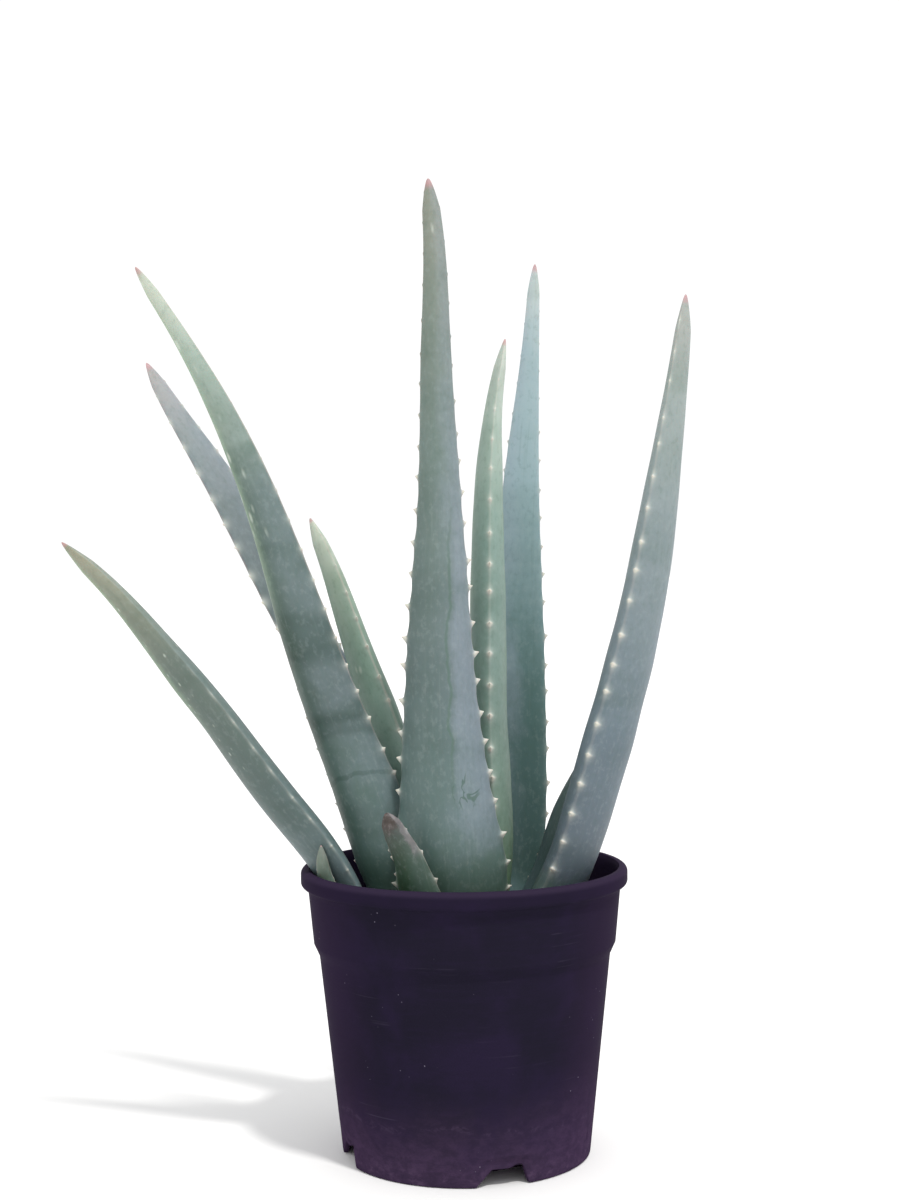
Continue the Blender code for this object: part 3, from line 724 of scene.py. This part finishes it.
# The wall's half section (r, z): under the base, up the outside, over the bead, down the inside.
def potSection():
    p = pot
    wall, hub, foot, lift = p["wall"], p["hub"], p["foot"], p["channelLift"]
    inner, outer = p["channelInner"], p["channelOuter"]
    low = p["shoulderZ"] - p["shoulderDrop"]
    neck = p["height"] - p["beadDrop"]
    lip = p["bandTop"] - wall
    bandFoot = (p["bandBottom"] + 0.0001, p["shoulderZ"] + 0.001)
    bandHead = (p["bandTop"] - 0.0002, neck - 0.003)
    bead = (p["rimRadius"] - 0.0030, p["height"] - 0.0030)
    lower = (p["rimRadius"] - 0.0024, neck + 0.0024)
    coneFoot = np.array([foot + 0.0020, 0.0185])
    coneHead = np.array([p["coneTop"] - 0.0004, low - 0.003])
    # the cone's rows stand closer together low down, where the notches are
    rows = np.concatenate([np.linspace(0.0, 0.17, 12), np.linspace(0.20, 1.0, 22)])
    pieces = [
        [(0.004, 0.0), (0.02, 0.0), (hub - 0.0006, 0.0)],
        arc((hub - 0.0006, 0.0006), 0.0006, -90, -20, 4),
        [(inner, lift)],
        np.linspace((inner + 0.001, lift), (outer - 0.001, lift), 8),
        [(outer, lift)],
        np.linspace((outer + 0.0001, lift - 0.0006), (outer + 0.0004, 0.0005), 6),
        [(outer + 0.0008, 0.0), (foot - 0.0012, 0.0)],
        arc((foot - 0.0010, 0.0011), 0.0011, -75, -6, 5),
        np.linspace((foot + 0.0003, 0.0024), (foot + 0.0018, 0.017), 18),
        coneFoot + (coneHead - coneFoot) * rows[:, None],
        [(p["coneTop"], low), (p["coneTop"] + 0.0006, low + 0.0009)],
        [(p["bandBottom"] - 0.0005, p["shoulderZ"] - 0.0010), (p["bandBottom"], p["shoulderZ"])],
        np.linspace(bandFoot, bandHead, 10),
        [(p["bandTop"], neck - 0.0016), (p["bandTop"] + 0.0006, neck - 0.0006)],
        arc(lower, 0.0024, -100, -5, 9),
        arc(bead, 0.0030, 5, 115, 12),
        [(lip + 0.0008, p["height"] - 0.0006), (lip, p["height"] - 0.0018)],
        np.linspace((lip - 0.0002, neck), (p["bandBottom"] - wall, p["shoulderZ"]), 4),
        [(p["coneTop"] - wall, low)],
        np.linspace((p["coneTop"] - wall - 0.0002, low - 0.002), (outer + 0.0022, 0.014), 5),
        [(outer + 0.0012, lift + wall), (inner - 0.0006, lift + wall)],
        [(hub - 0.0008, wall), (0.02, wall), (0.004, wall)],
    ]
    return np.concatenate([np.asarray(piece, float) for piece in pieces])


# How far the foot's lower edge is raised, as a share of the notch height: at each notch
# a trapezium with one slanted side and a low bump by the other.
def notchRise(angle):
    p = pot
    start, run = p["notchLeft"]
    extra, place, half = p["notchPeak"]
    rise = np.zeros_like(angle)
    for i in range(p["notches"]):
        centre = math.radians(p["firstNotch"] + i * 360 / p["notches"])
        across = np.angle(np.exp(1j * (angle - centre))) * p["foot"]
        left = np.clip((across - start) / run, 0.0, 1.0)
        right = smoothStep(*p["notchRight"], across) * (1 + extra * np.exp(-(((across - place) / half) ** 2)))
        rise = np.maximum(rise, left * right)
    return rise


# The section turned about Z; near the foot z is squeezed upwards over each notch.
def buildPot():
    p = pot
    section = potSection()
    angle = np.linspace(0.0, math.tau, p["sides"], endpoint=False)
    r = np.repeat(section[:, :1], p["sides"], axis=1)
    z = np.repeat(section[:, 1:], p["sides"], axis=1)
    rise = notchRise(angle)
    arch = rise * p["notchHeight"]
    climbing = np.arange(len(section)) < section[:, 1].argmax()  # rows before the top of the bead
    onFoot = (section[:, 0] > p["channelOuter"] - 1e-6) & climbing
    top = np.where(section[:, 0] < p["channelOuter"] + 0.00065, p["channelLift"], 0.014)[:, None]
    squeezed = arch + z * (top - arch) / top
    z = np.where(onFoot[:, None] & (z < top), squeezed, z)
    # the wall over each notch is pressed in a little
    outside = ((section[:, 0] > p["channelOuter"] + 0.0009) & climbing)[:, None]
    press = rise * smoothStep(0.0155, 0.0115, z)
    slope = (p["coneTop"] - p["foot"]) / (p["shoulderZ"] - p["shoulderDrop"])
    r = np.where(outside & (z < 0.03), r + (z - section[:, 1:]) * slope * 0.8 - 0.0016 * press, r)
    # a small slot and a nick, each (compass angle, height, half width, half height, depth)
    for turn, height, wide, tall, deep in p["dents"]:
        across = np.angle(np.exp(1j * (angle - math.radians(turn)))) * p["foot"]
        shape = np.exp(-((across / wide) ** 4)) * np.exp(-(((z - height) / tall) ** 4))
        r = np.where(outside & (z < 0.04), r - deep * shape, r)
    # moulded walls are never quite true
    r = r * (1 + 0.0016 * np.cos(2 * angle + 0.7) * smoothStep(0.02, 0.15, z) + 0.0007 * np.cos(3 * angle))
    points, faces, _ = tube(polar(r, angle, z))
    shell = makeMesh("nursery_pot", points, faces)
    middle = (p["channelInner"] + p["channelOuter"]) / 2
    for i in range(p["drainHoles"]):
        turn = math.radians(p["firstNotch"] + (i + 0.5) * 360 / p["drainHoles"])
        around = np.linspace(0.0, math.tau, p["drainSides"], endpoint=False)
        centre = (middle * math.cos(turn), middle * math.sin(turn), 0.0)
        drill = polar(p["drainRadius"], around, np.array([[0.006], [0.013]])) + centre
        cutter = makeMesh(f"drill_{i}", *tube(drill)[:2])
        cut = shell.modifiers.new("drain", "BOOLEAN")
        cut.operation, cut.object = "DIFFERENCE", cutter
    bpy.context.view_layer.update()
    finished = bpy.data.meshes.new_from_object(shell.evaluated_get(bpy.context.evaluated_depsgraph_get()))
    shell.modifiers.clear()
    shell.data = finished
    for obj in [o for o in bpy.data.objects if o.name.startswith("drill_")]:
        bpy.data.objects.remove(obj)
    shell.data.materials.append(potPlastic())
    shell.data.shade_smooth()
    shell.data.set_sharp_from_angle(angle=math.radians(40))
    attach(shell, "root")
    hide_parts("pot")
    print("pot", len(shell.data.polygons), "faces")


# Dull moulded plastic: faint flow marks, scratches round the band, dust and scuffs at the foot, and
# painted sheen on the left and right sides and along the top of the rim.
def potPlastic():
    look = Graph(bpy.data.materials.new("pot_plastic_worn"))
    look.feed("IOR", 1.46)
    look.feed("Specular IOR Level", 0.004)
    look.feed("Specular Tint", (0.70, 0.55, 0.85))
    place = look.place()
    x, y, z = look.split(place)
    clouds = look.noise(place, 24.0, 4.0, 0.6, 0.3)
    fine = look.noise(place, 1100.0, 3.0, 0.6)
    weave = look.noise(look.scaled(place, (60.0, 60.0, 420.0)), 1.0, 4.0, 0.65)
    hoops = look.noise(look.scaled(place, (7.0, 7.0, 480.0)), 1.0, 3.0, 0.6)
    grime = look.noise(look.scaled(place, (120.0, 120.0, 190.0)), 1.0, 6.0, 0.70, 0.25)
    color = look.mix(look.step(clouds, 0.38, 0.66), tint("1f1c29"), tint("241e31"))
    color = look.mix(look.step(weave, 0.45, 0.72) * 0.22, color, tint("271f36"))
    radius = look.math("SQRT", x * x + y * y)
    # painted sheen: the sides facing +x and -x turn lighter and redder, like a grazing reflection
    paintedFlankSheen = look.step(look.math("ABSOLUTE", x) / radius, 0.55, 1.0)
    color = look.mix(paintedFlankSheen * 0.80, color, tint("2c2136"))
    low = look.step(z + (clouds - 0.5) * 0.040 - look.step(x, 0.0, 0.07) * 0.012, 0.050, -0.004)
    dust = low * (0.42 + look.step(grime, 0.32, 0.68) * 0.46)
    color = look.mix(dust * 0.74, color, tint("4f3c57"))
    tide = look.step(look.math("ABSOLUTE", z - 0.029 + (clouds - 0.5) * 0.020), 0.0022, 0.0004)
    color = look.mix(tide * look.step(grime, 0.48, 0.60) * 0.30, color, tint("473b50"))
    caked = look.step(z, 0.012, 0.0) * look.step(grime, 0.50, 0.66)
    color = look.mix(caked * 0.22, color, tint("67566b"))
    color = look.mix(look.step(z, 0.1400, 0.1435) * 0.40, color, tint("221a2e"))
    # painted highlight: a lighter line along the top of the rim, standing in for its soft sheen
    color = look.mix(look.step(z, 0.1462, 0.1488) * 0.45, color, tint("3a3044"))
    scratch = look.step(hoops, 0.63, 0.72) * look.step(look.noise(place, 38.0, 2.0), 0.54, 0.66)
    color = look.mix(scratch * 0.14, color, tint("5c5468"))
    specks = look.cells(place, 300.0)
    some = look.step(look.noise(place, 55.0, 1.0), 0.62, 0.70)
    color = look.mix(look.step(specks, 0.13, 0.06) * some * 0.5, color, tint("8d879a"))
    look.feed("Base Color", color)
    look.feed("Roughness", 0.52 + dust * 0.32 + (fine - 0.5) * 0.14)
    look.bump(fine * 0.30 + weave * 0.25 + hoops * 0.30 + dust * grime * 1.1, 0.00022, 0.6)
    return look.owner


soil = {
    "level": 0.1165,
    "dome": 0.003,
    "wallGap": 0.0006,
    "roughness": 0.0017,
    "rings": 110,
    "sides": 260,
    "crumbs": 620,
    "crumbField": 0.0755,  # radius of the ground they lie on
    "seed": 21,
}
stems = {
    "stem_main": {"at": (0.002, 0.004), "radius": 0.012, "foot": 0.045, "top": 0.122},
    "stem_side": {"at": (-0.044, -0.012), "radius": 0.008, "foot": 0.065, "top": 0.112},
}


# Ground height: level + dome, falling off to the edge, + roughness * three sizes of lump.
def soilHeight(x, y):
    s = soil
    radius = np.hypot(x, y)
    dome = s["level"] + s["dome"] * (1 - smoothStep(0.0, 0.075, radius))
    lumps = valueNoise(x, y, 0.011, 1) + 0.6 * valueNoise(x, y, 0.0045, 2)
    lumps = lumps + 0.35 * valueNoise(x, y, 0.0018, 3)
    return dome + s["roughness"] * (lumps * 0.55 - 0.55)


# Top: height over a polar grid. Below it the body follows the inside of the pot down to the base.
def buildSoil():
    s, p = soil, pot
    edge = p["bandBottom"] - p["wall"] - s["wallGap"]
    radius = edge * np.sqrt(np.linspace(0.0004, 1.0, s["rings"]))[:, None]
    angle = np.linspace(0.0, math.tau, s["sides"], endpoint=False)
    x, y = radius * np.cos(angle), radius * np.sin(angle)
    top = np.stack([x, y, soilHeight(x, y)], axis=2)
    low = p["channelLift"] + p["wall"] + 0.0004
    skirt = np.array([
        (edge, p["shoulderZ"]),
        (p["coneTop"] - p["wall"] - s["wallGap"], p["shoulderZ"] - p["shoulderDrop"]),
        (p["channelOuter"] + 0.0012, low + 0.002),
        (p["channelOuter"] + 0.0006, low),
        (p["channelInner"] - 0.001, low),
        (p["hub"] - 0.001, p["wall"] + 0.0004),
        (0.002, p["wall"] + 0.0004),
    ])
    points, faces, _ = tube(np.concatenate([top, polar(skirt[:, :1], angle, skirt[:, 1:])]))
    ground = makeMesh("potting_mix", points, faces)
    ground.data.materials.append(soilLook())
    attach(ground, "root")
    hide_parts("soil")
    print("soil", len(ground.data.polygons), "faces")


# Bark, peat and pale grit: a distorted icosahedron for each crumb, half sunk in the ground.
def buildCrumbs():
    s = soil
    rng = np.random.default_rng(s["seed"])
    golden = (1 + math.sqrt(5)) / 2
    seedPoints = np.array([(-1, golden, 0), (1, golden, 0), (-1, -golden, 0), (1, -golden, 0),
                           (0, -1, golden), (0, 1, golden), (0, -1, -golden), (0, 1, -golden),
                           (golden, 0, -1), (golden, 0, 1), (-golden, 0, -1), (-golden, 0, 1)], float)
    seedPoints /= np.linalg.norm(seedPoints[0])
    corners = len(seedPoints)
    seedFaces = np.array([(0, 11, 5), (0, 5, 1), (0, 1, 7), (0, 7, 10), (0, 10, 11), (1, 5, 9), (5, 11, 4),
                          (11, 10, 2), (10, 7, 6), (7, 1, 8), (3, 9, 4), (3, 4, 2), (3, 2, 6), (3, 6, 8),
                          (3, 8, 9), (4, 9, 5), (2, 4, 11), (6, 2, 10), (8, 6, 7), (9, 8, 1)])
    count = s["crumbs"]
    kind = rng.choice([0.0, 0.5, 1.0], count, p=[0.45, 0.35, 0.20])
    size = rng.uniform(0.0009, 0.0024, count) * np.where(kind == 0.5, 1.35, 1.0)
    radius = s["crumbField"] * np.sqrt(rng.uniform(0.0, 1.0, count)) - size
    angle = rng.uniform(0.0, math.tau, count)
    x, y = radius * np.cos(angle), radius * np.sin(angle)
    stretch = np.stack([np.where(kind == 0.5, rng.uniform(1.2, 2.0, count), 1.0), np.ones(count),
                        np.where(kind == 0.5, 0.45, 0.8)], axis=1)
    shape = seedPoints * stretch[:, None] * rng.uniform(0.72, 1.18, (count, corners, 1)) * size[:, None, None]
    spin = rng.uniform(0.0, math.tau, count)
    c, n = np.cos(spin)[:, None], np.sin(spin)[:, None]
    px = shape[..., 0] * c - shape[..., 1] * n
    py = shape[..., 0] * n + shape[..., 1] * c
    z = soilHeight(x, y) + size * 0.25
    points = np.stack([px + x[:, None], py + y[:, None], shape[..., 2] + z[:, None]], axis=2)
    faces = seedFaces[None] + corners * np.arange(count)[:, None, None]
    marks = np.repeat(np.stack([kind, rng.uniform(0, 1, count), size], axis=1), corners, axis=0)
    faces = [faces.reshape(-1, 3)]
    crumbs = makeMesh("soil_crumbs", points.reshape(-1, 3), faces, {"crumbMarks": marks}, False)
    crumbs.data.materials.append(crumbLook())
    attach(crumbs, "root")
    print("crumbs", len(crumbs.data.polygons), "faces")


# Dark peat with lighter fibres and grains.
def soilLook():
    look = Graph(bpy.data.materials.new("soil_peat"))
    place = look.place()
    grain = look.noise(place, 700.0, 4.0, 0.7)
    patch = look.noise(place, 90.0, 3.0, 0.6)
    fibre = look.noise(look.scaled(place, (1.0, 4.5, 1.0)), 260.0, 3.0, 0.6, 1.0)
    color = look.ramp(grain, [(0.30, tint("1c150f")), (0.50, tint("3a2c20")), (0.72, tint("5d4938"))])
    color = look.mix(look.step(patch, 0.35, 0.65) * 0.5, color, tint("2a2019"))
    color = look.mix(look.step(fibre, 0.62, 0.70) * 0.5, color, tint("80694e"))
    look.feed("Base Color", color)
    look.feed("Roughness", 0.86 + grain * 0.12)
    look.bump(grain + patch * 0.5 + fibre * 0.4, 0.0009, 0.8)
    return look.owner


# Peat, bark or pale grit, by each crumb's kind.
def crumbLook():
    look = Graph(bpy.data.materials.new("soil_crumb_mix"))
    kind, shade, _ = look.split(look.attribute("crumbMarks"))
    grain = look.noise(look.place(), 900.0, 3.0, 0.6)
    peat = look.mix(shade, tint("2a1f16"), tint("4a3828"))
    bark = look.mix(shade, tint("54402c"), tint("8a6b4a"))
    grit = look.mix(shade, tint("a39a8b"), tint("d8d3c6"))
    color = look.mix(look.step(kind, 0.2, 0.3), peat, bark)
    color = look.mix(look.step(kind, 0.7, 0.8), color, grit)
    color = look.mix(look.step(grain, 0.55, 0.35) * 0.35, color, tint("33271d"))
    look.feed("Base Color", color)
    look.feed("Roughness", 0.80 + grain * 0.15)
    look.bump(grain, 0.0004, 0.7)
    return look.owner


# Dry fibrous bark with darker rings where leaves have dropped.
def barkLook():
    look = Graph(bpy.data.materials.new("stem_bark_dry"))
    place = look.place()
    z = look.split(place)[2]
    rings = look.noise(look.scaled(place, (40.0, 40.0, 600.0)), 1.0, 4.0, 0.6, 0.4)
    grain = look.noise(place, 500.0, 3.0, 0.6)
    color = look.ramp(rings, [(0.32, tint("4c3a26")), (0.52, tint("86704e")), (0.72, tint("a8946d"))])
    color = look.mix(look.step(z, 0.100, 0.121) * 0.5, color, tint("7c8a5f"))
    look.feed("Base Color", color)
    look.feed("Roughness", 0.78 + grain * 0.15)
    look.bump(rings + grain * 0.4, 0.0008, 0.8)
    return look.owner


# Turned stem: radius by height, with low scar rings and a rounded crown.
def buildStems():
    bark = barkLook()
    rings, sides = 90, 72
    for name, stem in stems.items():
        t = np.linspace(0.0, 1.0, rings)
        angle = np.linspace(0.0, math.tau, sides, endpoint=False)
        body = np.interp(t, [0, 0.02, 0.25, 0.6, 0.88, 0.98, 1.0], [0.1, 0.45, 0.8, 1.0, 0.92, 0.5, 0.06])
        scars = 1 + 0.035 * np.sin(t * 46) + 0.02 * valueNoise(t, t * 0, 0.03, 7)
        lobes = 1 + 0.03 * valueNoise(angle[None] * 2.0, t[:, None] * 9, 1.0, 9)
        r = (stem["radius"] * body * scars * 0.97)[:, None] * lobes
        z = stem["foot"] + (stem["top"] - stem["foot"]) * t
        points, faces, _ = tube(polar(r, angle, z[:, None]) + (*stem["at"], 0.0))
        piece = makeMesh("woody_" + name, points, faces)
        piece.data.materials.append(bark)
        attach(piece, "root")
        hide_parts(name)
        print("stem", name)


studio = {
    "cameraAt": (-0.0058, -1.04, 0.3215),
    "tiltDown": 1.83,
    "roll": -0.6,
    "lens": 60.0,
    "sensor": 36.0,
    "keyTurn": -60.0,  # compass angle of the key light, from +X
    "keyRise": 62.0,
    "keyPower": 1.72,
    "keySoftness": 5.0,
    "sky": 0.95,
    "backdrop": 1.05,  # the sky as the camera sees it
    "floorHalf": 14.0,
    "floorDrop": 0.0002,  # just under the foot
}


# Matte pale sweep with a hint of texture.
def floorLook():
    look = Graph(bpy.data.materials.new("floor_pale"))
    look.feed("Roughness", 0.9)
    grain = look.noise(look.place(), 30.0, 3.0)
    look.feed("Base Color", look.mix(grain * 0.3, tint("f6f6f6"), tint("efefef")))
    return look.owner


# Floor, camera, one sun and an even sky.
def buildStudio():
    s = studio
    half, drop = s["floorHalf"], s["floorDrop"]
    square = [(-half, -half), (half, -half), (half, half), (-half, half)]
    corners = np.array([(x, y, -drop) for x, y in square])
    floor = makeMesh("floor", corners, [np.array([[0, 1, 2, 3]])])
    floor.data.materials.append(floorLook())

    scene = bpy.context.scene
    scene.view_settings.view_transform = "Standard"
    camera = bpy.data.objects.new("camera", bpy.data.cameras.new("camera"))
    camera.data.lens = s["lens"]
    camera.data.sensor_width = s["sensor"]
    tilt = Matrix.Rotation(math.radians(90 - s["tiltDown"]), 4, "X")
    roll = Matrix.Rotation(math.radians(s["roll"]), 4, "Z")
    camera.matrix_world = Matrix.Translation(s["cameraAt"]) @ (tilt @ roll)
    scene.collection.objects.link(camera)
    scene.camera = camera

    key = bpy.data.objects.new("key", bpy.data.lights.new("key", "SUN"))
    key.data.energy = s["keyPower"]
    key.data.angle = math.radians(s["keySoftness"])
    key.data.color = (1.0, 0.985, 0.96)
    key.rotation_euler = (0.0, math.radians(90 - s["keyRise"]), math.radians(s["keyTurn"]))
    scene.collection.objects.link(key)

    world = bpy.data.worlds.new("studio")
    sky = Graph(world, "Background")
    seen = sky.node("ShaderNodeLightPath", {}, {})
    strengths = {"Value": seen, "To Min": s["sky"], "To Max": s["backdrop"]}
    sky.feed("Strength", sky.node("ShaderNodeMapRange", {}, strengths))
    sky.feed("Color", (1.0, 1.0, 1.0))
    scene.world = world
    print("studio ready")


buildStudio()
buildPot()
buildSoil()
buildCrumbs()
buildStems()
buildLeaves()
